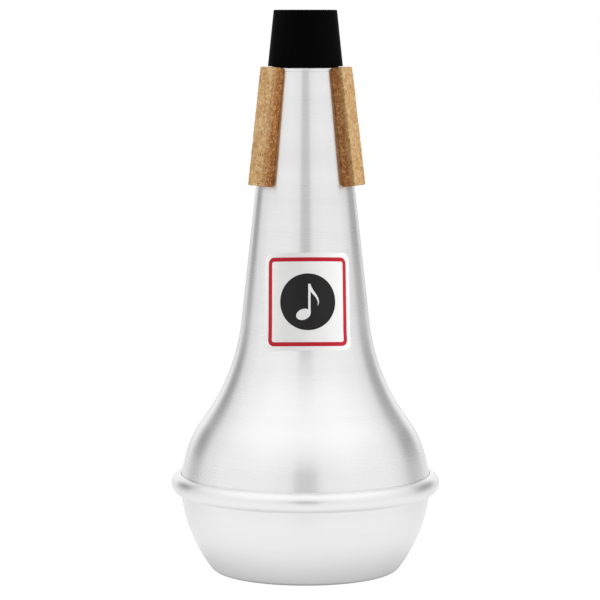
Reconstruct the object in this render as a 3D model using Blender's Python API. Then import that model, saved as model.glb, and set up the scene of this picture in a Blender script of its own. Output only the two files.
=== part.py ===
"""A flugelhorn straight mute: a spun aluminium cone and a spun base, joined by a rolled bead.

A moulded end tube plugs the neck, and three cork strips on the cone hold the mute in the bell.
Lengths are in metres and +Z is up. The mute stands on its foot, and the origin is the foot's centre.
"""

import math

import bmesh
import bpy
from mathutils import Matrix, Vector

MM = 0.001

# Sheet and fits
BODY_WALL = 1.0 * MM             # spun sheet of the cone
BASE_WALL = 1.0 * MM             # spun sheet of the base
CLEARANCE = 0.3 * MM             # left between pieces that touch

# The base, from its seam with the cone down to the foot
SEAM_RADIUS = 46.74 * MM         # where both outer walls meet the bead
BOWL_ARC_RADIUS = 56.0 * MM      # curve of the bowl's side, seen in section
BOWL_LEAN_TOP = 6.1              # degrees from upright, just below the bead
BOWL_LEAN_LOW = 37.3             # degrees from upright, above the bottom corner
CORNER_RADIUS = 3.5 * MM         # rounds the side into the flat foot

# The bead: the base's rim, rolled over the cone's curled edge
BEAD_RADIUS = 3.71 * MM          # half round, so it is twice as tall
SEAL_THICKNESS = 0.9 * MM        # sealing compound in the bead, under the cone's edge

# The cone, from the bead up to the cut end of its neck
SKIRT_HEIGHT = 5.9 * MM          # straight wall just above the bead
SKIRT_LEAN = 13.3                # degrees from upright
SHOULDER_RADIUS = 37.9 * MM      # bulging curve above the skirt
FLARE_LEAN = 36.8                # the wall's greatest lean, where the bulge turns into the flare
FLARE_RADIUS = 76.9 * MM         # hollow curve up to the straight cone
CONE_LEAN = 6.26                 # degrees from upright along the straight cone
CONE_HEIGHT = 94.5 * MM

# The end tube, a moulding whose lower half plugs the neck
TUBE_HEIGHT = 20.85 * MM         # the part that shows above the neck
TUBE_TOP_RADIUS = 11.82 * MM
TUBE_BORE_RADIUS = 9.6 * MM
TUBE_OVERHANG = 0.35 * MM        # its lower edge stands proud of the neck
PLUG_LENGTH = 12.0 * MM
TUBE_EDGE_RADIUS = 0.5 * MM      # rounds the rim of the mouth
PLUG_CHAMFER = 1.0 * MM          # leads the plug into the neck

# The corks
CORK_LENGTH = 44.0 * MM
CORK_WIDTH = 9.7 * MM
CORK_TOP_THICKNESS = 3.5 * MM
CORK_LOW_THICKNESS = 4.3 * MM
CORK_EDGE_RADIUS = 0.5 * MM      # rubbed long edges
CORK_SETBACK = 0.1 * MM          # from the neck's cut end down to the corks
FIRST_CORK_TURN = -55.7          # degrees from the front, seen from above
CORK_NAMES = ("cork_left", "cork_right", "cork_rear")

# How finely the round forms are cut
TURN_STEPS = 48
SHARP_ANGLE = 35.0               # degrees; a wider fold stays a crisp edge


def heading(degrees):
    """A unit step in the profile plane: 0 is outwards from the axis and 90 is up."""
    angle = math.radians(degrees)
    return Vector((math.cos(angle), math.sin(angle)))


def arc(centre, radius, start, end, steps):
    """Points of the profile plane along an arc, from one heading to another."""
    return [centre + radius * heading(start + (end - start) * step / steps) for step in range(steps + 1)]


def line_meets_circle(start, direction, centre, radius):
    """The first point where a line from start enters a circle."""
    offset = start - centre
    along = -offset.dot(direction)
    reach = math.sqrt(radius ** 2 - offset.length_squared + along ** 2)
    return start + (along - reach) * direction


def turn_of(point, centre):
    """The heading, in degrees, from a centre to a point."""
    return math.degrees(math.atan2(point.y - centre.y, point.x - centre.x))


# Landmarks of the section. Each one follows from the sizes above, from the foot upwards.

def bowl_top():
    """Where the bowl's outer wall meets the bead."""
    side = BOWL_ARC_RADIUS * (heading(BOWL_LEAN_LOW).y - heading(BOWL_LEAN_TOP).y)
    corner = CORNER_RADIUS * (1.0 - heading(BOWL_LEAN_LOW).y)
    return Vector((SEAM_RADIUS, side + corner))


def bead_centre():
    return bowl_top() + Vector((0.0, BEAD_RADIUS))


def bead_top():
    """Where the cone's outer wall meets the bead."""
    return bead_centre() + Vector((0.0, BEAD_RADIUS))


def curl_radius():
    """Outside of the cone's curled edge, which nests in the bead."""
    return BEAD_RADIUS - BASE_WALL - CLEARANCE


def skirt_down():
    """Direction down the skirt's wall."""
    return heading(SKIRT_LEAN - 90.0)


def shoulder_low():
    return bead_top() - skirt_down() * (SKIRT_HEIGHT / heading(SKIRT_LEAN).x)


def shoulder_centre():
    return shoulder_low() - SHOULDER_RADIUS * heading(SKIRT_LEAN)


def flare_centre():
    """Centre of the hollow curve, outside the cone."""
    return shoulder_centre() + (SHOULDER_RADIUS + FLARE_RADIUS) * heading(FLARE_LEAN)


def cone_foot():
    """Where the flare runs out into the straight cone."""
    return flare_centre() - FLARE_RADIUS * heading(CONE_LEAN)


def neck_top():
    """Outer corner of the neck's cut end."""
    return cone_foot() + Vector((-CONE_HEIGHT * math.tan(math.radians(CONE_LEAN)), CONE_HEIGHT))


# Sections

def cone_side(inset):
    """The cone's wall from the shoulder up to the cut end, set in from its outer face."""
    points = arc(shoulder_centre(), SHOULDER_RADIUS - inset, SKIRT_LEAN, FLARE_LEAN, 5)
    points += arc(flare_centre(), FLARE_RADIUS + inset, FLARE_LEAN + 180.0, CONE_LEAN + 180.0, 7)[1:]
    level_inset = inset / heading(CONE_LEAN).x
    points.append(neck_top() - Vector((level_inset, 0.0)))
    return points


def cone_section():
    """Outline of the cone's sheet, with its lower edge curled outwards."""
    centre = bead_centre()
    crease = line_meets_circle(bead_top(), skirt_down(), centre, curl_radius())
    crease_turn = turn_of(crease, centre)
    curl_out = arc(centre, curl_radius(), 0.0, crease_turn, 5)
    curl_in = arc(centre, curl_radius() - BODY_WALL, crease_turn, 0.0, 4)
    bend = arc(crease, BODY_WALL, SKIRT_LEAN + 180.0, crease_turn + 180.0, 3)
    outer = curl_out + cone_side(0.0)
    inner = list(reversed(cone_side(BODY_WALL))) + bend[:-1] + curl_in
    return outer + inner


def bowl_side(inset):
    """The base's wall from the foot up to the bead, set in from its outer face."""
    side_centre = bowl_top() - BOWL_ARC_RADIUS * heading(-BOWL_LEAN_TOP)
    corner_centre = side_centre + (BOWL_ARC_RADIUS - CORNER_RADIUS) * heading(-BOWL_LEAN_LOW)
    points = arc(corner_centre, CORNER_RADIUS - inset, -90.0, -BOWL_LEAN_LOW, 5)
    points += arc(side_centre, BOWL_ARC_RADIUS - inset, -BOWL_LEAN_LOW, -BOWL_LEAN_TOP, 6)[1:]
    return points


def bead_lip(radius):
    """Where the rolled rim stops, just short of the cone's skirt."""
    start = bead_top() + CLEARANCE * heading(SKIRT_LEAN)
    return line_meets_circle(start, skirt_down(), bead_centre(), radius)


def base_section():
    """Outline of the base's sheet, from the middle of the foot's underside round to its inside."""
    centre = bead_centre()
    inside = BEAD_RADIUS - BASE_WALL
    bead_out = arc(centre, BEAD_RADIUS, -90.0, turn_of(bead_lip(BEAD_RADIUS), centre), 9)
    bead_in = arc(centre, inside, turn_of(bead_lip(inside), centre), -90.0, 7)
    bend = arc(bowl_top(), BASE_WALL, 90.0, 180.0 - BOWL_LEAN_TOP, 3)
    outer = [Vector((0.0, 0.0))] + bowl_side(0.0) + bead_out[1:]
    inner = bead_in + bend[1:] + list(reversed(bowl_side(BASE_WALL)))[1:] + [Vector((0.0, BASE_WALL))]
    return outer + inner


def seal_section():
    """Outline of the sealing compound, which lines the bead from its floor up to the cone's edge."""
    outside = curl_radius()
    inside = outside - SEAL_THICKNESS
    end_gap = math.degrees(math.asin(min(1.0, CLEARANCE / inside)))
    outer = arc(bead_centre(), outside, -90.0, -end_gap, 4)
    inner = arc(bead_centre(), inside, -end_gap, -90.0, 4)
    return outer + inner


def tube_section():
    """Outline of the end tube: the tapered end that shows, a shoulder, and the plug."""
    seat = neck_top().y + CLEARANCE
    top = seat + TUBE_HEIGHT
    shoulder_radius = neck_top().x + TUBE_OVERHANG
    plug_radius = neck_top().x - BODY_WALL / heading(CONE_LEAN).x - CLEARANCE
    plug_end = seat - PLUG_LENGTH
    rim_out = Vector((TUBE_TOP_RADIUS - TUBE_EDGE_RADIUS, top - TUBE_EDGE_RADIUS))
    rim_in = Vector((TUBE_BORE_RADIUS + TUBE_EDGE_RADIUS, top - TUBE_EDGE_RADIUS))
    points = [Vector((shoulder_radius, seat))]
    points += arc(rim_out, TUBE_EDGE_RADIUS, 0.0, 90.0, 3)
    points += arc(rim_in, TUBE_EDGE_RADIUS, 90.0, 180.0, 3)
    points.append(Vector((TUBE_BORE_RADIUS, plug_end)))
    points.append(Vector((plug_radius - PLUG_CHAMFER, plug_end)))
    points.append(Vector((plug_radius, plug_end + PLUG_CHAMFER)))
    points.append(Vector((plug_radius, seat)))
    return points


# Making the solids

def finish(name, colour, roughness, metallic):
    """A plain material; the colour is linear."""
    material = bpy.data.materials.new(name)
    material.use_nodes = True
    shader = material.node_tree.nodes["Principled BSDF"]
    shader.inputs["Base Color"].default_value = (*colour, 1.0)
    shader.inputs["Roughness"].default_value = roughness
    shader.inputs["Metallic"].default_value = metallic
    material.diffuse_color = (*colour, 1.0)
    return material


def solid(name, bm, material):
    """Close off a mesh, put it in the scene as a named object and shade it."""
    bmesh.ops.recalc_face_normals(bm, faces=bm.faces)
    mesh = bpy.data.meshes.new(name)
    bm.to_mesh(mesh)
    bm.free()
    mesh.materials.append(material)
    mesh.shade_smooth()
    mesh.set_sharp_from_angle(angle=math.radians(SHARP_ANGLE))
    piece = bpy.data.objects.new(name, mesh)
    bpy.context.scene.collection.objects.link(piece)
    return piece


def turned(name, section, material):
    """Spin a section about the axis. One that starts and ends on the axis needs no closing edge."""
    bm = bmesh.new()
    points = [bm.verts.new((point.x, 0.0, point.y)) for point in section]
    for here, there in zip(points, points[1:]):
        bm.edges.new((here, there))
    if section[0].x > 0.0:
        bm.edges.new((points[-1], points[0]))
    bmesh.ops.spin(bm, geom=bm.verts[:] + bm.edges[:], cent=(0, 0, 0), axis=(0, 0, 1), dvec=(0, 0, 0),
                   angle=math.tau, steps=TURN_STEPS, use_merge=True)
    bmesh.ops.remove_doubles(bm, verts=bm.verts, dist=0.001 * MM)
    return solid(name, bm, material)


def cork_outline(cone_radius, thickness):
    """Corners of a cork's end, as (across, outwards) from the cone's surface."""
    half = CORK_WIDTH / 2.0
    surface = cone_radius / heading(CONE_LEAN).x
    rounding = CORK_EDGE_RADIUS
    right = arc(Vector((half - rounding, thickness - rounding)), rounding, 0.0, 90.0, 3)
    left = arc(Vector((rounding - half, thickness - rounding)), rounding, 90.0, 180.0, 3)
    under = []
    steps = 6
    for step in range(steps + 1):
        across = half * (2.0 * step / steps - 1.0)
        drop = surface - math.sqrt(surface ** 2 - across ** 2)
        under.append(Vector((across, CLEARANCE - drop)))
    return right + left + under


def cork(name, turn, material):
    """A strip whose underside is hollowed to lie on the cone, with its ends cut square to it."""
    down = heading(CONE_LEAN - 90.0)
    outwards = heading(CONE_LEAN)
    start = neck_top() + down * (CORK_SETBACK / heading(CONE_LEAN).x)
    bm = bmesh.new()
    loops = []
    for distance, thickness in ((0.0, CORK_TOP_THICKNESS), (CORK_LENGTH, CORK_LOW_THICKNESS)):
        station = start + down * distance
        loop = []
        for corner in cork_outline(station.x, thickness):
            place = station + outwards * corner.y
            loop.append(bm.verts.new((corner.x, -place.x, place.y)))
        loops.append(loop)
        bm.faces.new(loop)
    top, low = loops
    for index, corner in enumerate(top):
        follow = (index + 1) % len(top)
        bm.faces.new((corner, top[follow], low[follow], low[index]))
    bmesh.ops.rotate(bm, verts=bm.verts, matrix=Matrix.Rotation(math.radians(turn), 3, "Z"))
    return solid(name, bm, material)


def build():
    for thing in list(bpy.data.objects):
        bpy.data.objects.remove(thing, do_unlink=True)
    spun_body = finish("spun_aluminium_body", (0.80, 0.80, 0.81), 0.30, 1.0)
    spun_base = finish("spun_aluminium_base", (0.80, 0.80, 0.81), 0.28, 1.0)
    rubber = finish("black_rubber", (0.006, 0.006, 0.006), 0.55, 0.0)
    granular_cork = finish("granular_cork", (0.49, 0.30, 0.13), 0.85, 0.0)
    compound = finish("seam_compound", (0.03, 0.03, 0.032), 0.7, 0.0)
    turned("base_bowl", base_section(), spun_base)
    turned("seam_seal", seal_section(), compound)
    turned("body_cone", cone_section(), spun_body)
    turned("end_tube", tube_section(), rubber)
    for index, name in enumerate(CORK_NAMES):
        cork(name, FIRST_CORK_TURN + index * 360.0 / len(CORK_NAMES), granular_cork)


build()
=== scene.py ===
import math

import bmesh
import bpy
from mathutils import Matrix, Vector, geometry, noise


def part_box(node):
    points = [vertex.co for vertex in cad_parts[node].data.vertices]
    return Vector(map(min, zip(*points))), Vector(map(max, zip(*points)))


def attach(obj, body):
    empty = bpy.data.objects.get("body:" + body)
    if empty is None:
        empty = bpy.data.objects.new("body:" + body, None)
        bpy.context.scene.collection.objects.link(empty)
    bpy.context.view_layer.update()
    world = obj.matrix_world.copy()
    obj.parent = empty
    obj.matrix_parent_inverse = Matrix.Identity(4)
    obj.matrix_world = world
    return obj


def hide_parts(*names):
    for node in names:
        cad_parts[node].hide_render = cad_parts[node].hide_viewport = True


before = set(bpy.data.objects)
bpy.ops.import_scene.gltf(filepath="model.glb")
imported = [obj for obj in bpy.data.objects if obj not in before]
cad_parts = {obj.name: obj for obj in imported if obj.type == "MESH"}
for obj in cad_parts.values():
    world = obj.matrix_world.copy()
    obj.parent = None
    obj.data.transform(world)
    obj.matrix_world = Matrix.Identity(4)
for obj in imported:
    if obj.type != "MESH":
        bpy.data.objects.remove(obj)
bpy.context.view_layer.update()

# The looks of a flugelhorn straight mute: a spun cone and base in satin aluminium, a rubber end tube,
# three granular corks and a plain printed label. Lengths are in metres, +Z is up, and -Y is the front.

MM = 0.001

# The solids' own sizes, which the fine surfaces share
BODY_WALL = 1.0 * MM
BASE_WALL = 1.0 * MM
CLEARANCE = 0.3 * MM
SEAM_RADIUS = 46.74 * MM         # where both outer walls meet the bead
BOWL_ARC_RADIUS = 56.0 * MM      # curve of the bowl's side, seen in section
BOWL_LEAN_TOP = 6.1              # degrees from upright, just below the bead
BOWL_LEAN_LOW = 37.3             # degrees from upright, above the bottom corner
CORNER_RADIUS = 3.5 * MM         # rounds the side into the flat foot
BEAD_HALF_HEIGHT = 3.71 * MM
SKIRT_HEIGHT = 5.9 * MM          # straight wall just above the bead
SKIRT_LEAN = 13.3                # degrees from upright, as the next two leans are
SHOULDER_RADIUS = 37.9 * MM      # bulging curve above the skirt
FLARE_LEAN = 36.8                # where the bulge turns into the flare
FLARE_RADIUS = 76.9 * MM         # hollow curve up to the straight cone
CONE_LEAN = 6.26                 # the straight cone's own
CONE_HEIGHT = 94.5 * MM
TUBE_TOP_RADIUS = 11.82 * MM
TUBE_BORE_RADIUS = 9.6 * MM
TUBE_OVERHANG = 0.35 * MM
PLUG_LENGTH = 12.0 * MM
TUBE_EDGE_RADIUS = 0.5 * MM
PLUG_CHAMFER = 1.0 * MM
CORK_LENGTH = 44.0 * MM
CORK_WIDTH = 9.7 * MM
CORK_TOP_THICKNESS = 3.5 * MM
CORK_LOW_THICKNESS = 4.3 * MM
CORK_SETBACK = 0.1 * MM
FIRST_CORK_TURN = -55.7          # degrees from the front, seen from above
CORK_NAMES = ("cork_left", "cork_right", "cork_rear")

# What the fine surfaces add to them
CREASE_RADIUS = 0.8 * MM         # the base's sheet doesn't fold sharp under its bead
SEAM_GAP = 0.12 * MM             # the rolled rim all but touches the skirt
NECK_EDGE_RADIUS = 0.7 * MM      # burnished corner of the neck's cut end
EDGE_LINE_SETBACK = 1.4 * MM     # a fine turned line below that corner
EDGE_LINE_WIDTH = 0.25 * MM
EDGE_LINE_DEPTH = 0.12 * MM
TUBE_FOOT_RADIUS = 0.2 * MM      # moulded edge of the tube's shoulder
METAL_TURN_STEPS = 256
TUBE_TURN_STEPS = 128
PROFILE_SPACING = 1.1 * MM       # longest chord along a curved profile
PROFILE_ANGLE = 9.0              # degrees; the widest step round a small curve
SHARP_ANGLE = 35.0               # degrees; a wider turn between two faces stays an edge
MERGE_DISTANCE = 0.001 * MM      # points closer together than this are one
# the export bakes through a map of this name where it can
BAKE_MAP = "OFBake"              # the name of the map that the turned pieces carry

# Cork
CORK_EDGE_RADIUS = 0.5 * MM      # rubbed edges
CORK_LIFT = 0.08 * MM            # the glue's thickness under a strip
CORK_CELL = 0.42 * MM            # spacing of the mesh that carries the pits
GRANULE = 1.35 * MM              # size of the pressed granules
PIT_DEPTH = 0.13 * MM            # between two granules
PIT_REACH = 0.3                  # how wide the pit between two granules is, in granules
GRANULE_STEP = 0.05 * MM         # how far one granule lies below another
GRANULE_SPREAD = 7.0             # parts the granules' centres, so that each lies at its own depth
GRANULE_WOBBLE = 0.6 * MM        # how far the granules' outlines stray
CRUMB = 0.3 * GRANULE            # size of the roughness on one granule, and its depth
CRUMB_DEPTH = 0.4 * GRANULE_STEP

# Label, printed on vinyl film
LABEL_WIDTH = 34.0 * MM
LABEL_HEIGHT = 36.0 * MM
LABEL_CORNER = 3.2 * MM
LABEL_CENTRE = 103.5 * MM        # height of its middle, along Z
LABEL_TURN = 2.4                 # degrees to the right of the front
LABEL_CELL = 1.5 * MM            # spacing of the mesh that bends round the neck
LABEL_LIFT = 0.02 * MM           # the glue under the film
FILM_THICKNESS = 0.09 * MM
INK_LIFT = 0.005 * MM            # keeps a layer's faces clear of the one below
INK_THICKNESS = 0.03 * MM
FRAME_INSET = 1.7 * MM           # from the film's edge to the red line
FRAME_LINE = 1.5 * MM
DISC_RADIUS = 10.4 * MM

# The note on the label. Its places are measured from the label's middle, across and up.
HEAD_CENTRE = Vector((-1.7 * MM, -4.6 * MM))
HEAD_LENGTH = 2.75 * MM          # half axes of the oval head
HEAD_DEPTH = 1.95 * MM
HEAD_TILT = 22.0                 # degrees
HEAD_STEPS = 28
STEM_WIDTH = 0.85 * MM
STEM_TOP = 6.6 * MM
TAIL_ROOT = 3.9 * MM             # height where the tail's underside leaves the stem
TAIL_REACH = 2.5 * MM            # how far the tail's tip stands off the stem
TAIL_END = -1.7 * MM             # height of that tip
TAIL_STEPS = 12


# Profiles. A point is (distance from the axis, height).

def heading(degrees):
    """A unit step in the profile plane: 0 is outwards from the axis and 90 is up."""
    angle = math.radians(degrees)
    return Vector((math.cos(angle), math.sin(angle)))


def arc(centre, radius, start, end):
    """Points along an arc, from one heading to another, close enough to look round."""
    sweep = abs(end - start)
    length = math.radians(sweep) * radius
    steps = math.ceil(max(length / PROFILE_SPACING, sweep / PROFILE_ANGLE))
    return [centre + radius * heading(start + (end - start) * step / steps) for step in range(steps + 1)]


def line_meets_circle(start, direction, centre, radius):
    """The first point where a line from start enters a circle."""
    offset = start - centre
    along = -offset.dot(direction)
    reach = math.sqrt(radius ** 2 - offset.length_squared + along ** 2)
    return start + (along - reach) * direction


def circles_meet(centre_a, radius_a, centre_b, radius_b):
    """Where two circles cross, on the right hand of the way from the first to the second."""
    apart = centre_b - centre_a
    along = (radius_a ** 2 - radius_b ** 2 + apart.length_squared) / (2.0 * apart.length)
    aside = math.sqrt(radius_a ** 2 - along ** 2)
    step = apart.normalized()
    return centre_a + along * step + aside * Vector((step.y, -step.x))


def turn_of(point, centre):
    """The heading, in degrees, from a centre to a point."""
    return math.degrees(math.atan2(point.y - centre.y, point.x - centre.x))


BOWL_TOP = Vector((
    SEAM_RADIUS,
    BOWL_ARC_RADIUS * (heading(BOWL_LEAN_LOW).y - heading(BOWL_LEAN_TOP).y)
    + CORNER_RADIUS * (1.0 - heading(BOWL_LEAN_LOW).y),
))
BEAD_CENTRE = BOWL_TOP + Vector((0.0, BEAD_HALF_HEIGHT))
BEAD_TOP = BEAD_CENTRE + Vector((0.0, BEAD_HALF_HEIGHT))
BEAD_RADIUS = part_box("base_bowl")[1].x - SEAM_RADIUS
CURL_RADIUS = BEAD_RADIUS - BASE_WALL - CLEARANCE
SKIRT_DOWN = heading(SKIRT_LEAN - 90.0)
SHOULDER_LOW = BEAD_TOP - SKIRT_DOWN * (SKIRT_HEIGHT / heading(SKIRT_LEAN).x)
SHOULDER_CENTRE = SHOULDER_LOW - SHOULDER_RADIUS * heading(SKIRT_LEAN)
FLARE_CENTRE = SHOULDER_CENTRE + (SHOULDER_RADIUS + FLARE_RADIUS) * heading(FLARE_LEAN)
CONE_FOOT = FLARE_CENTRE - FLARE_RADIUS * heading(CONE_LEAN)
CONE_UP = heading(CONE_LEAN + 90.0)
NECK_TOP = CONE_FOOT + CONE_UP * (CONE_HEIGHT / heading(CONE_LEAN).x)


def cone_side(inset):
    """The cone's wall from the shoulder up to the cut end, set in from its outer face."""
    points = arc(SHOULDER_CENTRE, SHOULDER_RADIUS - inset, SKIRT_LEAN, FLARE_LEAN)
    points += arc(FLARE_CENTRE, FLARE_RADIUS + inset, FLARE_LEAN + 180.0, CONE_LEAN + 180.0)[1:]
    points.append(NECK_TOP - Vector((inset / heading(CONE_LEAN).x, 0.0)))
    return points


def neck_edge():
    """The outer face's last stretch: a fine turned line, then the burnished corner of the cut end."""
    line = NECK_TOP - EDGE_LINE_SETBACK * CONE_UP
    points = [
        line - EDGE_LINE_WIDTH / 2.0 * CONE_UP,
        line - EDGE_LINE_DEPTH * heading(CONE_LEAN),
        line + EDGE_LINE_WIDTH / 2.0 * CONE_UP,
    ]
    inwards = NECK_EDGE_RADIUS * (1.0 - heading(CONE_LEAN).y) / heading(CONE_LEAN).x
    corner_centre = NECK_TOP - Vector((inwards, NECK_EDGE_RADIUS))
    return points + arc(corner_centre, NECK_EDGE_RADIUS, CONE_LEAN, 90.0)


def cone_section():
    """Outline of the cone's sheet, with its lower edge curled outwards inside the bead."""
    crease = line_meets_circle(BEAD_TOP, SKIRT_DOWN, BEAD_CENTRE, CURL_RADIUS)
    crease_turn = turn_of(crease, BEAD_CENTRE)
    curl_out = arc(BEAD_CENTRE, CURL_RADIUS, 0.0, crease_turn)
    curl_in = arc(BEAD_CENTRE, CURL_RADIUS - BODY_WALL, crease_turn, 0.0)
    bend = arc(crease, BODY_WALL, SKIRT_LEAN + 180.0, crease_turn + 180.0)
    outer = curl_out + cone_side(0.0)[:-1] + neck_edge()
    inner = list(reversed(cone_side(BODY_WALL))) + bend[:-1] + curl_in
    return outer + inner


def base_section():
    """Outline of the base's sheet, from the middle of the foot's underside round to its inside."""
    side_centre = BOWL_TOP - BOWL_ARC_RADIUS * heading(-BOWL_LEAN_TOP)
    corner_centre = side_centre + (BOWL_ARC_RADIUS - CORNER_RADIUS) * heading(-BOWL_LEAN_LOW)
    crease_centre = circles_meet(side_centre, BOWL_ARC_RADIUS + CREASE_RADIUS,
                                 BEAD_CENTRE, BEAD_RADIUS + CREASE_RADIUS)
    side_end = turn_of(crease_centre, side_centre)
    bead_start = turn_of(crease_centre, BEAD_CENTRE)
    lip_line = BEAD_TOP + SEAM_GAP * heading(SKIRT_LEAN)
    lip_out = turn_of(line_meets_circle(lip_line, SKIRT_DOWN, BEAD_CENTRE, BEAD_RADIUS), BEAD_CENTRE)
    inside = BEAD_RADIUS - BASE_WALL
    lip_in = turn_of(line_meets_circle(lip_line, SKIRT_DOWN, BEAD_CENTRE, inside), BEAD_CENTRE)

    points = [Vector((0.0, 0.0))]
    points += arc(corner_centre, CORNER_RADIUS, -90.0, -BOWL_LEAN_LOW)
    points += arc(side_centre, BOWL_ARC_RADIUS, -BOWL_LEAN_LOW, side_end)[1:]
    points += arc(crease_centre, CREASE_RADIUS, side_end + 180.0, bead_start + 180.0)[1:]
    points += arc(BEAD_CENTRE, BEAD_RADIUS, bead_start, lip_out)[1:]
    points += arc(BEAD_CENTRE, inside, lip_in, -90.0)
    points += arc(BOWL_TOP, BASE_WALL, 90.0, 180.0 - BOWL_LEAN_TOP)[1:]
    points += arc(side_centre, BOWL_ARC_RADIUS - BASE_WALL, -BOWL_LEAN_TOP, -BOWL_LEAN_LOW)[1:]
    points += arc(corner_centre, CORNER_RADIUS - BASE_WALL, -BOWL_LEAN_LOW, -90.0)[1:]
    points.append(Vector((0.0, BASE_WALL)))
    return points


def tube_section():
    """Outline of the end tube: the tapered end that shows, a shoulder, and the plug in the neck."""
    seat = NECK_TOP.y + CLEARANCE
    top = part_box("end_tube")[1].z
    shoulder = Vector((NECK_TOP.x + TUBE_OVERHANG, seat))
    plug_radius = NECK_TOP.x - BODY_WALL / heading(CONE_LEAN).x - CLEARANCE
    plug_end = seat - PLUG_LENGTH
    rim_out = Vector((TUBE_TOP_RADIUS - TUBE_EDGE_RADIUS, top - TUBE_EDGE_RADIUS))
    rim_in = Vector((TUBE_BORE_RADIUS + TUBE_EDGE_RADIUS, top - TUBE_EDGE_RADIUS))
    taper = math.degrees(math.atan2(shoulder.x - TUBE_TOP_RADIUS, top - seat))
    foot = shoulder + TUBE_FOOT_RADIUS * Vector((-1.0, 1.0))
    points = arc(foot, TUBE_FOOT_RADIUS, -90.0, taper)
    points += arc(rim_out, TUBE_EDGE_RADIUS, taper, 90.0)
    points += arc(rim_in, TUBE_EDGE_RADIUS, 90.0, 180.0)
    points.append(Vector((TUBE_BORE_RADIUS, plug_end)))
    points.append(Vector((plug_radius - PLUG_CHAMFER, plug_end)))
    points.append(Vector((plug_radius, plug_end + PLUG_CHAMFER)))
    points.append(Vector((plug_radius, seat)))
    return points


# Making the pieces

def finished(name, bm, material):
    """Turn a mesh in the making into an object with its material."""
    mesh = bpy.data.meshes.new(name)
    bm.to_mesh(mesh)
    bm.free()
    mesh.materials.append(material)
    thing = bpy.data.objects.new(name, mesh)
    bpy.context.scene.collection.objects.link(thing)
    return thing


def in_place(name, bm, material, node=None):
    """Make a mesh a named piece that rides with the mute and may stand for a solid."""
    piece = finished(name, bm, material)
    piece.data.shade_smooth()
    piece.data.set_sharp_from_angle(angle=math.radians(SHARP_ANGLE))
    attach(piece, "root")
    if node:
        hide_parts(node)


def nearest_turn(value, near, period):
    """The same place on a closed round, counted from the round that near lies on."""
    return value + period * round((near - value) / period)


def lay_out_map(bm, along, length):
    """Give a turned mesh a map. Its first axis runs round the mute, and its second along the section.

    The metal's grain takes its direction from it.
    """
    layer = bm.loops.layers.uv[BAKE_MAP]
    for face in bm.faces:
        middle = face.calc_center_median()
        round_middle = math.atan2(-middle.x, middle.y) / math.tau + 0.5
        down_first = face.loops[0].vert[along]
        for loop in face.loops:
            place = loop.vert.co
            across = round_middle
            if place.xy.length > MERGE_DISTANCE:
                across = nearest_turn(math.atan2(-place.x, place.y) / math.tau + 0.5, round_middle, 1.0)
            down = nearest_turn(loop.vert[along], down_first, length)
            loop[layer].uv = (across, down / length)


def turned(name, section, steps, material):
    """Spin a section about the axis, with its seam at the back.

    The points keep their place along the section, which the spun rings follow.
    """
    bm = bmesh.new()
    along = bm.verts.layers.float.new("along")
    bm.loops.layers.uv.new(BAKE_MAP)
    distance = 0.0
    points = []
    for index, point in enumerate(section):
        if index:
            distance += (point - section[index - 1]).length
        vert = bm.verts.new((0.0, point.x, point.y))
        vert[along] = distance
        points.append(vert)
    for here, there in zip(points, points[1:]):
        bm.edges.new((here, there))
    if section[0].x > 0.0:
        bm.edges.new((points[-1], points[0]))
        distance += (section[-1] - section[0]).length
    bmesh.ops.spin(bm, geom=bm.verts[:] + bm.edges[:], cent=(0, 0, 0), axis=(0, 0, 1), dvec=(0, 0, 0),
                   angle=math.tau, steps=steps, use_merge=True)
    bmesh.ops.remove_doubles(bm, verts=bm.verts, dist=MERGE_DISTANCE)
    bmesh.ops.recalc_face_normals(bm, faces=bm.faces)
    lay_out_map(bm, along, distance)
    in_place(name + "_surface", bm, material, node=name)


def slice_up(bm, axis, low, high, spacing):
    """Cut a mesh into even slices along one axis."""
    count = max(1, round((high - low) / spacing))
    across = Vector((0.0, 0.0, 0.0))
    across[axis] = 1.0
    for step in range(1, count):
        place = across * (low + (high - low) * step / count)
        bmesh.ops.bisect_plane(bm, geom=bm.verts[:] + bm.edges[:] + bm.faces[:], dist=MERGE_DISTANCE,
                               plane_co=place, plane_no=across)


def granule_depth(place):
    """How far cork's cut face lies below its plane, from the granules that were pressed together."""
    distances, centres = noise.voronoi(place / GRANULE)
    joint = max(0.0, 1.0 - (distances[1] - distances[0]) / PIT_REACH)
    crumb = 0.5 + 0.5 * noise.noise(place / CRUMB)
    own_level = noise.cell(centres[0] * GRANULE_SPREAD)
    return PIT_DEPTH * joint * crumb + GRANULE_STEP * own_level + CRUMB_DEPTH * crumb


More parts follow.
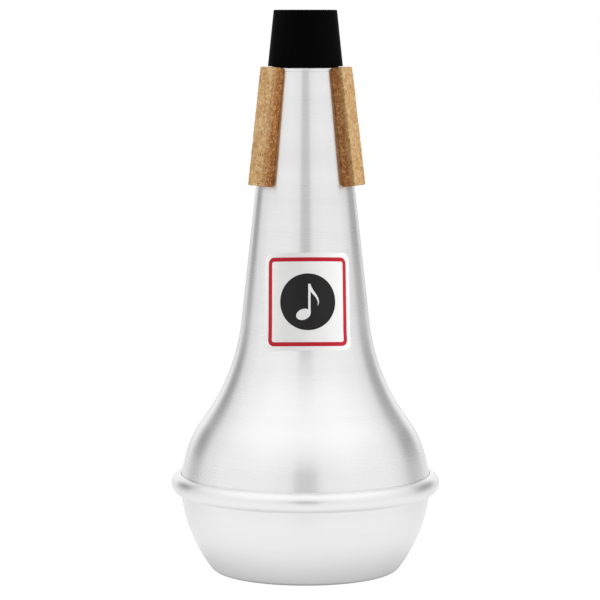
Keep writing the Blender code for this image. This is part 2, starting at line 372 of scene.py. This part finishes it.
def cork(name, turn, material):
    """A strip with rubbed edges, hollowed to lie on the cone, its cut faces rough with granules."""
    bm = bmesh.new()
    # share of the strip's thickness, 0 on the metal; the finish paints the sides' shade by it
    sanded = bm.verts.layers.float.new("sanded")
    bmesh.ops.create_cube(bm, size=1.0)
    bmesh.ops.scale(bm, vec=(CORK_WIDTH, CORK_LENGTH, CORK_LOW_THICKNESS), verts=bm.verts)
    bmesh.ops.translate(bm, vec=(0.0, CORK_LENGTH / 2.0, CORK_LOW_THICKNESS / 2.0), verts=bm.verts)
    rubbed = [edge for edge in bm.edges if max(vert.co.z for vert in edge.verts) > 0.0]
    bmesh.ops.bevel(bm, geom=rubbed, offset=CORK_EDGE_RADIUS, offset_type="OFFSET", affect="EDGES",
                    segments=3, profile=0.5, material=-1)
    half = CORK_WIDTH / 2.0
    slice_up(bm, axis=0, low=CORK_EDGE_RADIUS - half, high=half - CORK_EDGE_RADIUS, spacing=CORK_CELL)
    slice_up(bm, axis=1, low=CORK_EDGE_RADIUS, high=CORK_LENGTH - CORK_EDGE_RADIUS, spacing=CORK_CELL)
    slice_up(bm, axis=2, low=0.0, high=CORK_LOW_THICKNESS - CORK_EDGE_RADIUS, spacing=CORK_CELL)
    bmesh.ops.recalc_face_normals(bm, faces=bm.faces)
    outwards = heading(CONE_LEAN)
    start = NECK_TOP - CONE_UP * (CORK_SETBACK / heading(CONE_LEAN).x)
    for vert in bm.verts:
        across, distance, height = vert.co
        share = height / CORK_LOW_THICKNESS
        station = start - CONE_UP * distance
        surface = station.x / heading(CONE_LEAN).x
        drop = surface - math.sqrt(surface ** 2 - across ** 2)
        growth = (CORK_LOW_THICKNESS - CORK_TOP_THICKNESS) * distance / CORK_LENGTH
        thickness = CORK_TOP_THICKNESS + growth
        place = station + outwards * ((CORK_LIFT - drop) * (1.0 - share) + thickness * share)
        vert.co = (across, -place.x, place.y)
        vert[sanded] = share
    bmesh.ops.rotate(bm, verts=bm.verts, cent=(0, 0, 0),
                     matrix=Matrix.Rotation(math.radians(turn), 3, "Z"))
    bmesh.ops.recalc_face_normals(bm, faces=bm.faces)
    bm.normal_update()
    moves = [vert.normal * -granule_depth(vert.co) for vert in bm.verts]
    for vert, move in zip(bm.verts, moves):
        vert.co += move
    in_place(name + "_strip", bm, material, node=name)


# The label's flat parts are cut out at the origin, with X across and Y up, and wrapped on the neck.

def wall_along(distance):
    """The outer wall's point and lean at a distance along it from the foot of the straight cone."""
    if distance >= 0.0:
        return CONE_FOOT + CONE_UP * distance, CONE_LEAN
    lean = CONE_LEAN + math.degrees(-distance / FLARE_RADIUS)
    return FLARE_CENTRE - FLARE_RADIUS * heading(lean), lean


def wrap(place):
    """Bend a flat point round the neck, as film lies on a cone. Its Z is its height above the metal."""
    centre = (LABEL_CENTRE - CONE_FOOT.y) / heading(CONE_LEAN).x
    centre_radius = wall_along(centre)[0].x
    apex = centre_radius / heading(CONE_LEAN).y
    from_apex = apex - place.y
    up = apex - math.hypot(from_apex, place.x)
    azimuth = math.atan2(place.x, from_apex) / heading(CONE_LEAN).y + math.radians(LABEL_TURN)
    wall, lean = wall_along(centre + up)
    spot = wall + place.z * heading(lean)
    return Vector((spot.x * math.sin(azimuth), -spot.x * math.cos(azimuth), spot.y))


def stick(name, bm, low, thickness, material):
    """Give a flat cut-out its thickness, bend it on to the neck and make it a piece."""
    slice_up(bm, axis=0, low=-LABEL_WIDTH / 2.0, high=LABEL_WIDTH / 2.0, spacing=LABEL_CELL)
    slice_up(bm, axis=1, low=-LABEL_HEIGHT / 2.0, high=LABEL_HEIGHT / 2.0, spacing=LABEL_CELL)
    lower = bm.faces[:]
    raised = bmesh.ops.extrude_face_region(bm, geom=lower, use_keep_orig=True)["geom"]
    upper = [part for part in raised if isinstance(part, bmesh.types.BMVert)]
    bmesh.ops.translate(bm, vec=(0.0, 0.0, thickness), verts=upper)
    bmesh.ops.translate(bm, vec=(0.0, 0.0, low), verts=bm.verts)
    for vert in bm.verts:
        vert.co = wrap(vert.co)
    bmesh.ops.recalc_face_normals(bm, faces=bm.faces)
    in_place(name, bm, material)


def rounded_sheet(width, height, corner):
    """A flat sheet with round corners."""
    bm = bmesh.new()
    corners = [bm.verts.new((side * width / 2.0, end * height / 2.0, 0.0))
               for side, end in ((-1, -1), (1, -1), (1, 1), (-1, 1))]
    bm.faces.new(corners)
    bmesh.ops.bevel(bm, geom=bm.verts[:], offset=corner, offset_type="OFFSET", affect="VERTICES",
                    segments=8, profile=0.5, material=-1)
    return bm


def note_outline():
    """Outline of a quaver: an oval head, a stem and one curved tail."""
    tilt = math.radians(HEAD_TILT)
    reach = math.hypot(HEAD_LENGTH * math.cos(tilt), HEAD_DEPTH * math.sin(tilt))
    lead = math.atan2(HEAD_DEPTH * math.sin(tilt), HEAD_LENGTH * math.cos(tilt))
    stem_right = HEAD_CENTRE.x + reach
    stem_left = stem_right - STEM_WIDTH
    first = math.acos((stem_left - HEAD_CENTRE.x) / reach) - lead
    last = math.tau - lead
    turn = Matrix.Rotation(tilt, 2)
    points = []
    for step in range(HEAD_STEPS + 1):
        angle = first + (last - first) * step / HEAD_STEPS
        oval = Vector((HEAD_LENGTH * math.cos(angle), HEAD_DEPTH * math.sin(angle)))
        points.append(HEAD_CENTRE + turn @ oval)
    stem_top = Vector((stem_right, STEM_TOP))
    tail_root = Vector((stem_right, TAIL_ROOT))
    tail_tip = Vector((stem_right + TAIL_REACH, TAIL_END))
    under_root = tail_root + Vector((0.9, -1.5)) * MM
    under_tip = tail_tip + Vector((0.9, 2.6)) * MM
    over_tip = tail_tip + Vector((2.1, 3.1)) * MM
    over_top = stem_top + Vector((0.3, -2.7)) * MM
    under = geometry.interpolate_bezier(tail_root, under_root, under_tip, tail_tip, TAIL_STEPS)
    over = geometry.interpolate_bezier(tail_tip, over_tip, over_top, stem_top, TAIL_STEPS)
    points += [point.to_2d() for point in under]
    points += [point.to_2d() for point in over[1:]]
    points.append(Vector((stem_left, stem_top.y)))
    return points


def make_label(film, red, black):
    """A plain sticker: white film, a red line round it, and a black disc with a white note."""
    sheet = rounded_sheet(LABEL_WIDTH, LABEL_HEIGHT, LABEL_CORNER)
    stick("label_film", sheet, LABEL_LIFT, FILM_THICKNESS, film)
    ink = LABEL_LIFT + FILM_THICKNESS + INK_LIFT
    line = rounded_sheet(LABEL_WIDTH - 2.0 * FRAME_INSET, LABEL_HEIGHT - 2.0 * FRAME_INSET,
                         LABEL_CORNER - FRAME_INSET / 2.0)
    middle = line.faces[:]
    bmesh.ops.inset_region(line, faces=middle, thickness=FRAME_LINE, use_even_offset=True,
                           use_boundary=True)
    bmesh.ops.delete(line, geom=middle, context="FACES")
    stick("label_line", line, ink, INK_THICKNESS, red)
    disc = bmesh.new()
    bmesh.ops.create_circle(disc, cap_ends=True, segments=96, radius=DISC_RADIUS)
    stick("label_disc", disc, ink, INK_THICKNESS, black)
    note = bmesh.new()
    note.faces.new([note.verts.new((*point, 0.0)) for point in note_outline()])
    stick("label_note", note, ink + INK_THICKNESS + INK_LIFT, INK_THICKNESS, film)


# Materials

# A Mix node's sockets for colours. Their names stand for its sockets for numbers too.
COLOUR_A = 6
COLOUR_B = 7
MIXED_COLOUR = 2


def colour(hexadecimal):
    """A linear colour from its sRGB hex value."""
    digits = hexadecimal.lstrip("#")
    parts = [int(digits[place:place + 2], 16) / 255.0 for place in (0, 2, 4)]
    linear = [part / 12.92 if part <= 0.04045 else ((part + 0.055) / 1.055) ** 2.4 for part in parts]
    return (*linear, 1.0)


def new_tree(thing):
    """An empty node tree on a material or a world."""
    thing.use_nodes = True
    thing.node_tree.nodes.clear()
    return thing.node_tree


def add(tree, kind, inputs=None, stops=None, **settings):
    """Add a node with its settings. An input is a value, or the output that feeds it."""
    node = tree.nodes.new("ShaderNode" + kind)
    for name, value in settings.items():
        setattr(node, name, value)
    for name, value in (inputs or {}).items():
        if isinstance(value, bpy.types.NodeSocket):
            tree.links.new(value, node.inputs[name])
        else:
            node.inputs[name].default_value = value
    if stops:
        elements = node.color_ramp.elements
        while len(elements) < len(stops):
            elements.new(1.0)
        for element, (position, shade) in zip(elements, stops):
            element.position = position
            element.color = shade
    return node


def per_mm(size):
    """The scale of a pattern whose features are that many millimetres across."""
    return 1.0 / (size * MM)


def spun_aluminium(name, roughness, anisotropy):
    """Aluminium sheet spun on a lathe and left with its satin grain.

    The eye sees highlights drawn out along the profile, because the grain runs round the mute, faint
    rings, and a pale neutral grey. The rings are drawn about six times as coarse as the real ones, so
    that they show.
    """
    material = bpy.data.materials.new(name)
    tree = new_tree(material)
    rings_place = add(tree, "Attribute", attribute_name="along").outputs["Fac"]
    fine_rings = add(tree, "TexNoise", {"W": rings_place, "Scale": per_mm(0.9), "Detail": 1.0},
                     noise_dimensions="1D").outputs["Fac"]
    broad_rings = add(tree, "TexNoise", {"W": rings_place, "Scale": per_mm(9.0), "Detail": 2.0},
                      noise_dimensions="1D").outputs["Fac"]
    place = add(tree, "TexCoord").outputs["Object"]
    clouds = add(tree, "TexNoise", {"Vector": place, "Scale": per_mm(30.0), "Detail": 2.0}).outputs["Fac"]
    metal = add(tree, "Mix", {"Factor": broad_rings, COLOUR_A: colour("#E7E7E7"),
                              COLOUR_B: colour("#EFEFEF")}, data_type="RGBA").outputs[MIXED_COLOUR]
    shine_change = 0.02
    ring_roughness = add(tree, "MapRange", {"Value": fine_rings, "To Min": roughness - shine_change,
                                            "To Max": roughness + shine_change}).outputs["Result"]
    cloud_roughness = add(tree, "MapRange", {"Value": clouds, "To Min": -shine_change,
                                             "To Max": shine_change}).outputs["Result"]
    rough = add(tree, "Math", {0: ring_roughness, 1: cloud_roughness}, operation="ADD").outputs[0]
    bump = add(tree, "Bump", {"Height": fine_rings, "Strength": 0.25,
                              "Distance": 0.004 * MM}).outputs["Normal"]
    shader = add(tree, "BsdfPrincipled", {"Base Color": metal, "Metallic": 1.0, "Roughness": rough,
                                          "Anisotropic": anisotropy, "Anisotropic Rotation": 0.25,
                                          "Normal": bump})
    add(tree, "OutputMaterial", {"Surface": shader.outputs[0]})
    return material


def moulded_rubber():
    """Black moulded rubber for the end tube: deep, matt, with the fine grain of its mould."""
    material = bpy.data.materials.new("moulded_rubber")
    tree = new_tree(material)
    place = add(tree, "TexCoord").outputs["Object"]
    grain = add(tree, "TexNoise", {"Vector": place, "Scale": per_mm(0.35), "Detail": 3.0}).outputs["Fac"]
    bloom = add(tree, "TexNoise", {"Vector": place, "Scale": per_mm(7.0), "Detail": 2.0}).outputs["Fac"]
    shade = add(tree, "Mix", {"Factor": bloom, COLOUR_A: colour("#030303"), COLOUR_B: colour("#060606")},
                data_type="RGBA").outputs[MIXED_COLOUR]
    rough = add(tree, "MapRange", {"Value": bloom, "To Min": 0.5, "To Max": 0.62}).outputs["Result"]
    bump = add(tree, "Bump", {"Height": grain, "Strength": 0.3, "Distance": 0.03 * MM}).outputs["Normal"]
    shader = add(tree, "BsdfPrincipled", {"Base Color": shade, "Roughness": rough, "Normal": bump,
                                          "Specular IOR Level": 0.015})
    add(tree, "OutputMaterial", {"Surface": shader.outputs[0]})
    return material


def granular_cork():
    """Agglomerated cork, cut from a block of pressed granules.

    Granules from pale tan to russet show as a soft mosaic with a few flecks of bark. The sanded outer
    face is pale and yellowish. The sawn sides are redder, and painted shade darkens them
    towards the metal.
    """
    material = bpy.data.materials.new("granular_cork")
    tree = new_tree(material)
    flat_place = add(tree, "TexCoord").outputs["Object"]
    wobble = add(tree, "TexNoise", {"Vector": flat_place, "Scale": per_mm(0.9),
                                    "Detail": 2.0}).outputs["Color"]
    place = add(tree, "MixRGB", {"Fac": GRANULE_WOBBLE, "Color1": flat_place, "Color2": wobble},
                blend_type="ADD").outputs[0]
    granules = add(tree, "TexVoronoi", {"Vector": place, "Scale": 1.0 / GRANULE})
    granule_shade = add(tree, "SeparateColor", {"Color": granules.outputs["Color"]})
    joints = add(tree, "TexVoronoi", {"Vector": place, "Scale": 1.0 / GRANULE},
                 feature="DISTANCE_TO_EDGE").outputs["Distance"]
    crumbs = add(tree, "TexVoronoi", {"Vector": place, "Scale": per_mm(0.55)})
    crumb_shade = add(tree, "SeparateColor", {"Color": crumbs.outputs["Color"]})
    grain = add(tree, "TexNoise", {"Vector": flat_place, "Scale": per_mm(0.28),
                                   "Detail": 3.0}).outputs["Fac"]
    tans = add(tree, "ValToRGB", {"Fac": granule_shade.outputs["Red"]},
               stops=((0.0, colour("#A9804F")), (0.35, colour("#C29A66")), (0.7, colour("#CFAE7E")),
                      (1.0, colour("#DCC297")))).outputs["Color"]
    crumbled = add(tree, "ValToRGB", {"Fac": crumb_shade.outputs["Green"]},
                   stops=((0.0, colour("#98703F")), (0.15, colour("#BC915C")), (0.8, colour("#CEAA79")),
                          (1.0, colour("#E4C99F")))).outputs["Color"]
    sanded_face = add(tree, "Mix", {"Factor": 0.45, COLOUR_A: tans, COLOUR_B: crumbled},
                      data_type="RGBA").outputs[MIXED_COLOUR]
    # the sides' colours: the sawn cork's redder tone, with painted shade that makes it darker than the
    # face
    sawn_and_shaded_side = add(tree, "ValToRGB", {"Fac": crumb_shade.outputs["Blue"]},
                    stops=((0.0, colour("#6E3818")), (0.3, colour("#A05D2D")), (0.7, colour("#B8793F")),
                           (1.0, colour("#D6A66D")))).outputs["Color"]
    sanded = add(tree, "Attribute", attribute_name="sanded").outputs["Fac"]
    # below half the thickness the sides keep the darker colour: painted shade towards the metal
    worn = add(tree, "MapRange", {"Value": sanded, "From Min": 0.5, "To Min": 0.08, "To Max": 1.0},
               interpolation_type="SMOOTHSTEP").outputs["Result"]
    mixed = add(tree, "Mix", {"Factor": worn, COLOUR_A: sawn_and_shaded_side, COLOUR_B: sanded_face},
                data_type="RGBA").outputs[MIXED_COLOUR]
    bark = add(tree, "MapRange", {"Value": crumb_shade.outputs["Red"], "From Min": 0.95,
                                  "From Max": 0.98}).outputs["Result"]
    flecked = add(tree, "Mix", {"Factor": bark, COLOUR_A: mixed, COLOUR_B: colour("#8A5A30")},
                  data_type="RGBA").outputs[MIXED_COLOUR]
    joint = add(tree, "MapRange", {"Value": joints, "From Min": 0.0, "From Max": 0.09, "To Min": 0.4,
                                   "To Max": 0.0}).outputs["Result"]
    jointed = add(tree, "Mix", {"Factor": joint, COLOUR_A: flecked, COLOUR_B: colour("#8F6236")},
                  data_type="RGBA").outputs[MIXED_COLOUR]
    grain_share = add(tree, "MapRange", {"Value": grain, "From Min": 0.35, "From Max": 0.7,
                                         "To Min": 0.22, "To Max": 0.0}).outputs["Result"]
    grained = add(tree, "Mix", {"Factor": grain_share, COLOUR_A: jointed, COLOUR_B: colour("#9A6C3C")},
                  data_type="RGBA").outputs[MIXED_COLOUR]
    bump = add(tree, "Bump", {"Height": grain, "Strength": 0.6, "Distance": 0.12 * MM}).outputs["Normal"]
    shader = add(tree, "BsdfPrincipled", {"Base Color": grained, "Roughness": 0.85, "Normal": bump,
                                          "Specular IOR Level": 0.2})
    add(tree, "OutputMaterial", {"Surface": shader.outputs[0]})
    return material


def vinyl(name, shade, worn):
    """Printed vinyl film: smooth, a little glossy, with the slight mottle of ink on film."""
    material = bpy.data.materials.new(name)
    tree = new_tree(material)
    place = add(tree, "TexCoord").outputs["Object"]
    mottle = add(tree, "TexNoise", {"Vector": place, "Scale": per_mm(2.5), "Detail": 3.0}).outputs["Fac"]
    film = add(tree, "Mix", {"Factor": mottle, COLOUR_A: colour(shade), COLOUR_B: colour(worn)},
               data_type="RGBA").outputs[MIXED_COLOUR]
    rough = add(tree, "MapRange", {"Value": mottle, "To Min": 0.36, "To Max": 0.46}).outputs["Result"]
    bump = add(tree, "Bump", {"Height": mottle, "Strength": 0.1, "Distance": 0.02 * MM}).outputs["Normal"]
    shader = add(tree, "BsdfPrincipled", {"Base Color": film, "Roughness": rough, "Normal": bump,
                                          "Specular IOR Level": 0.25})
    add(tree, "OutputMaterial", {"Surface": shader.outputs[0]})
    return material


def sealing_compound():
    """Black sealing compound, squeezed into the seam: matt, with soft lumps."""
    material = bpy.data.materials.new("sealing_compound")
    tree = new_tree(material)
    place = add(tree, "TexCoord").outputs["Object"]
    lumps = add(tree, "TexNoise", {"Vector": place, "Scale": per_mm(1.5), "Detail": 2.0}).outputs["Fac"]
    shade = add(tree, "Mix", {"Factor": lumps, COLOUR_A: colour("#262627"), COLOUR_B: colour("#343433")},
                data_type="RGBA").outputs[MIXED_COLOUR]
    bump = add(tree, "Bump", {"Height": lumps, "Strength": 0.5, "Distance": 0.1 * MM}).outputs["Normal"]
    shader = add(tree, "BsdfPrincipled", {"Base Color": shade, "Roughness": 0.75, "Normal": bump})
    add(tree, "OutputMaterial", {"Surface": shader.outputs[0]})
    return material


# The studio: a white surround and floor. Soft-edged sheets draw the lines that show in the metal.

CAMERA_PLACE = Vector((0.0, -1.050, 0.2059))
CAMERA_AIM = Vector((-0.0020, 0.0, 0.10188))
CAMERA_LENS = 169.05             # millimetres, as the sensor's width is
CAMERA_SENSOR = 36.0
LAMP_AIM = Vector((0.0, 0.0, 0.12))

WHITE = colour("#FFFFFF")
AMBIENT = 0.55                   # what the surround gives to matt surfaces; metal sees it white
FLOOR_RADIUS = 7.0
FLOOR_DROP = 0.1 * MM            # keeps the floor clear of the foot's underside
FLOOR_PAINT = colour("#F3F3F3")
FLOOR_GLOW = 1.08                # the floor's own light, to the eye
FLOOR_OWN_SHARE = 0.88           # share of the floor's white that no shadow takes away
FLOOR_UNDER_PAINTED_SHADE = 0.53               # painted shade in the floor's glow, which only the metal sees: right beside the foot, under the bowl
FLOOR_CONTACT_PAINTED_SHADE = 0.15             # painted shade in the metal: share of that glow left where the foot touches the floor
FLOOR_NEAR_PAINTED_LIGHT = 1.08                # painted light in the metal: the floor's glow beside the bowl
FLOOR_FAR_PAINTED_SHADE = 0.65                 # painted shade in the metal: the floor's glow far from the mute
FLOOR_BEHIND_PAINTED_SHADE = 0.86              # painted shade in the metal: share of the glow that the floor behind the mute keeps
CONTACT_START = 33.4 * MM        # from the axis: the foot's painted dark line fades between these two
CONTACT_END = 35.4 * MM
SHADE_BACK = 4.0 * MM            # the middle of the painted shade under the bowl lies a little to the back
SHADE_START = 34.0 * MM          # from that middle: the painted shade fades between these two
SHADE_END = 56.6 * MM
FAR_START = 0.25                 # from that middle: painted shade darkens the floor's glow again between these two
FAR_END = 1.6
BEHIND_START = -0.03             # along Y: painted shade darkens the floor's glow towards the back between these two
BEHIND_END = 0.06
SHEET_STEPS = 24


def white_surround():
    """The background is plain white to the eye and in the metal, and lights matt surfaces softly."""
    world = bpy.data.worlds.new("surround")
    bpy.context.scene.world = world
    tree = new_tree(world)
    path = add(tree, "LightPath")
    eye_or_metal = add(tree, "Math", {0: path.outputs["Is Camera Ray"], 1: path.outputs["Is Glossy Ray"]},
                       operation="MAXIMUM").outputs[0]
    seen = add(tree, "Math", {0: eye_or_metal, 1: path.outputs["Is Transmission Ray"]},
               operation="MAXIMUM").outputs[0]
    strength = add(tree, "MapRange", {"Value": seen, "To Min": AMBIENT, "To Max": 1.0}).outputs["Result"]
    light = add(tree, "Background", {"Color": WHITE, "Strength": strength})
    add(tree, "OutputWorld", {"Surface": light.outputs[0]})


def stage_piece(name, bm, material, seen):
    """Add a floor or a sheet to the scene. One that isn't seen shows only in the metal."""
    piece = finished(name, bm, material)
    if not seen:
        piece.visible_camera = False
        piece.visible_diffuse = False
        piece.visible_shadow = False


def floor():
    """A white floor that keeps a little of the mute's shadow.

    The metal sees its glow with painted shade under the bowl, round the foot, behind the mute and far
    away, and with painted light beside the bowl.
    """
    material = bpy.data.materials.new("white_floor")
    tree = new_tree(material)
    path = add(tree, "LightPath")
    place = add(tree, "TexCoord").outputs["Object"]
    # Painted shade and light in the floor's glow, which only glossy rays see
    from_middle = add(tree, "VectorMath", {0: place, 1: (0.0, SHADE_BACK, 0.0)},
                      operation="DISTANCE").outputs["Value"]
    shade = add(tree, "MapRange", {"Value": from_middle, "From Min": SHADE_START, "From Max": SHADE_END,
                                   "To Min": FLOOR_UNDER_PAINTED_SHADE, "To Max": FLOOR_NEAR_PAINTED_LIGHT}).outputs["Result"]
    from_axis = add(tree, "VectorMath", {0: place}, operation="LENGTH").outputs["Value"]
    painted_contact_shade = add(tree, "MapRange", {"Value": from_axis, "From Min": CONTACT_START,
                                     "From Max": CONTACT_END, "To Min": FLOOR_CONTACT_PAINTED_SHADE,
                                     "To Max": 1.0}).outputs["Result"]
    away = add(tree, "MapRange", {"Value": from_middle, "From Min": FAR_START, "From Max": FAR_END,
                                  "To Min": 1.0, "To Max": FLOOR_FAR_PAINTED_SHADE / FLOOR_NEAR_PAINTED_LIGHT},
               interpolation_type="SMOOTHSTEP").outputs["Result"]
    axes = add(tree, "SeparateXYZ", {0: place})
    behind = add(tree, "MapRange", {"Value": axes.outputs["Y"], "From Min": BEHIND_START,
                                    "From Max": BEHIND_END, "To Min": 1.0,
                                    "To Max": FLOOR_BEHIND_PAINTED_SHADE}).outputs["Result"]
    painted_foot_shade = add(tree, "Math", {0: shade, 1: painted_contact_shade}, operation="MULTIPLY").outputs[0]
    beside = add(tree, "Math", {0: painted_foot_shade, 1: behind}, operation="MULTIPLY").outputs[0]
    painted_glow_in_metal = add(tree, "Math", {0: beside, 1: away}, operation="MULTIPLY").outputs[0]
    # glossy rays see the glow with its painted shade and light; the eye sees it even
    own_light = add(tree, "Mix", {"Factor": path.outputs["Is Glossy Ray"], "A": FLOOR_GLOW,
                                  "B": painted_glow_in_metal}, data_type="FLOAT").outputs["Result"]
    seen = add(tree, "Math", {0: path.outputs["Is Camera Ray"], 1: path.outputs["Is Glossy Ray"]},
               operation="MAXIMUM").outputs[0]
    share = add(tree, "Math", {0: seen, 1: FLOOR_OWN_SHARE}, operation="MULTIPLY").outputs[0]
    paint = add(tree, "BsdfDiffuse", {"Color": FLOOR_PAINT})
    glow = add(tree, "Emission", {"Color": WHITE, "Strength": own_light})
    mix = add(tree, "MixShader", {0: share, 1: paint.outputs[0], 2: glow.outputs[0]})
    add(tree, "OutputMaterial", {"Surface": mix.outputs[0]})
    bm = bmesh.new()
    bmesh.ops.create_circle(bm, cap_ends=True, segments=64, radius=FLOOR_RADIUS)
    bmesh.ops.translate(bm, vec=(0.0, 0.0, -FLOOR_DROP), verts=bm.verts)
    stage_piece("floor", bm, material, seen=True)


def fade(share, first, last):
    """1 in the middle of a sheet, falling to 0 at its edges over the given shares of its size."""
    rise = share / first if first else 1.0
    fall = (1.0 - share) / last if last else 1.0
    return min(1.0, rise, fall)


def soft_sheet(name, brightness, place, sides, low, high):
    """A sheet of even brightness that grows clear towards its edges.

    The edges fade over sides, low and high, which are shares of its size. place gives its points from
    how far across and how far up they are, as shares too.
    """
    material = bpy.data.materials.new(name)
    tree = new_tree(material)
    cover = add(tree, "Attribute", attribute_name="cover").outputs["Fac"]
    clear = add(tree, "BsdfTransparent")
    glow = add(tree, "Emission", {"Color": WHITE, "Strength": brightness})
    mix = add(tree, "MixShader", {0: cover, 1: clear.outputs[0], 2: glow.outputs[0]})
    add(tree, "OutputMaterial", {"Surface": mix.outputs[0]})
    bm = bmesh.new()
    strength = bm.verts.layers.float.new("cover")
    bmesh.ops.create_grid(bm, x_segments=SHEET_STEPS, y_segments=SHEET_STEPS, size=0.5)
    for vert in bm.verts:
        across = vert.co.x + 0.5
        up = vert.co.y + 0.5
        vert.co = place(across, up)
        vert[strength] = fade(across, sides, sides) * fade(up, low, high)
    stage_piece(name, bm, material, seen=False)


def panel(name, distance, middle, width, height, brightness, sides, low, high, lean=0.0):
    """An upright sheet, bent round the mute. Its middle and width are azimuths in degrees from the front.

    It leans sideways by as many degrees as its top stands further round than its foot.
    """
    def place(across, up):
        azimuth = math.radians(middle + width * (across - 0.5) + lean * (up - 0.5))
        return Vector((distance * math.sin(azimuth), -distance * math.cos(azimuth), height * up))
    soft_sheet(name, brightness, place, sides, low, high)


def overhead(name, height, reach_x, front, back, brightness):
    """A level sheet over the mute, brighter than the surround, which lights up the shoulder."""
    def place(across, up):
        return Vector((reach_x * (2.0 * across - 1.0), front + (back - front) * up, height))
    soft_sheet(name, brightness, place, sides=0.25, low=0.25, high=0.25)


def aimed(name, data, place, aim):
    """Stand a lamp or a camera in its place and turn it towards its aim."""
    thing = bpy.data.objects.new(name, data)
    bpy.context.scene.collection.objects.link(thing)
    thing.location = place
    thing.rotation_euler = (aim - place).to_track_quat("-Z", "Y").to_euler()
    return thing


def lamp(name, place, size, power):
    """A soft box that lights matt surfaces and doesn't show in the metal."""
    data = bpy.data.lights.new(name, "AREA")
    data.shape = "SQUARE"
    data.size = size
    data.energy = power
    box = aimed(name, data, Vector(place), LAMP_AIM)
    box.visible_glossy = False
    box.visible_camera = False


def studio():
    """Set up the surround, the floor, the sheets and the lamps.

    The black stand draws the dark strip down the middle of the metal, and the two flags behind the
    mute draw the dark bands near its edges. The wide sheets in front and at the sides are greyer than
    the white that is left between them, which makes the highlights.
    """
    white_surround()
    floor()
    panel("camera_stand", distance=1.9, middle=0.5, width=27.0, height=0.7, brightness=0.0,
          sides=0.2, low=0.28, high=0.38)
    panel("open_front", distance=2.0, middle=0.0, width=76.0, height=1.1, brightness=0.78,
          sides=0.45, low=0.0, high=0.6)
    panel("side_left", distance=1.5, middle=-122.0, width=74.0, height=1.2, brightness=0.86,
          sides=0.3, low=0.0, high=0.5)
    panel("side_right", distance=1.5, middle=122.0, width=76.0, height=1.2, brightness=0.84,
          sides=0.3, low=0.0, high=0.5)
    panel("flag_left", distance=0.45, middle=-129.5, width=39.0, height=0.42, brightness=0.24,
          sides=0.36, low=0.36, high=0.64, lean=-12.0)
    panel("flag_right", distance=0.45, middle=129.0, width=48.0, height=0.42, brightness=0.32,
          sides=0.3, low=0.36, high=0.64, lean=20.0)
    overhead("top_panel", height=1.5, reach_x=2.4, front=-2.05, back=1.0, brightness=1.22)
    lamp("left_box", place=(-1.2, 0.2, 0.45), size=0.7, power=9.2)
    lamp("right_box", place=(1.15, -0.3, 0.45), size=0.7, power=8.6)


def camera():
    """Look at the mute from about a metre in front and a little above, as the photograph does."""
    data = bpy.data.cameras.new("camera")
    data.lens = CAMERA_LENS
    data.sensor_width = CAMERA_SENSOR
    bpy.context.scene.camera = aimed("camera", data, CAMERA_PLACE, CAMERA_AIM)


def build():
    """Make every piece of the mute in its finish."""
    body_metal = spun_aluminium("spun_aluminium_body", roughness=0.28, anisotropy=0.92)
    base_metal = spun_aluminium("spun_aluminium_base", roughness=0.29, anisotropy=0.88)
    turned("body_cone", cone_section(), METAL_TURN_STEPS, body_metal)
    turned("base_bowl", base_section(), METAL_TURN_STEPS, base_metal)
    turned("end_tube", tube_section(), TUBE_TURN_STEPS, moulded_rubber())
    cork_finish = granular_cork()
    for index, name in enumerate(CORK_NAMES):
        cork(name, FIRST_CORK_TURN + index * 360.0 / len(CORK_NAMES), cork_finish)
    make_label(vinyl("vinyl_white", "#F7F7F6", "#F1F1EF"), vinyl("vinyl_red", "#C3142D", "#B81229"),
               vinyl("vinyl_black", "#161416", "#1E1B1D"))
    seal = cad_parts["seam_seal"]
    seal.data.materials.clear()
    seal.data.materials.append(sealing_compound())


build()
studio()
camera()
bpy.context.scene.view_settings.view_transform = "Standard"
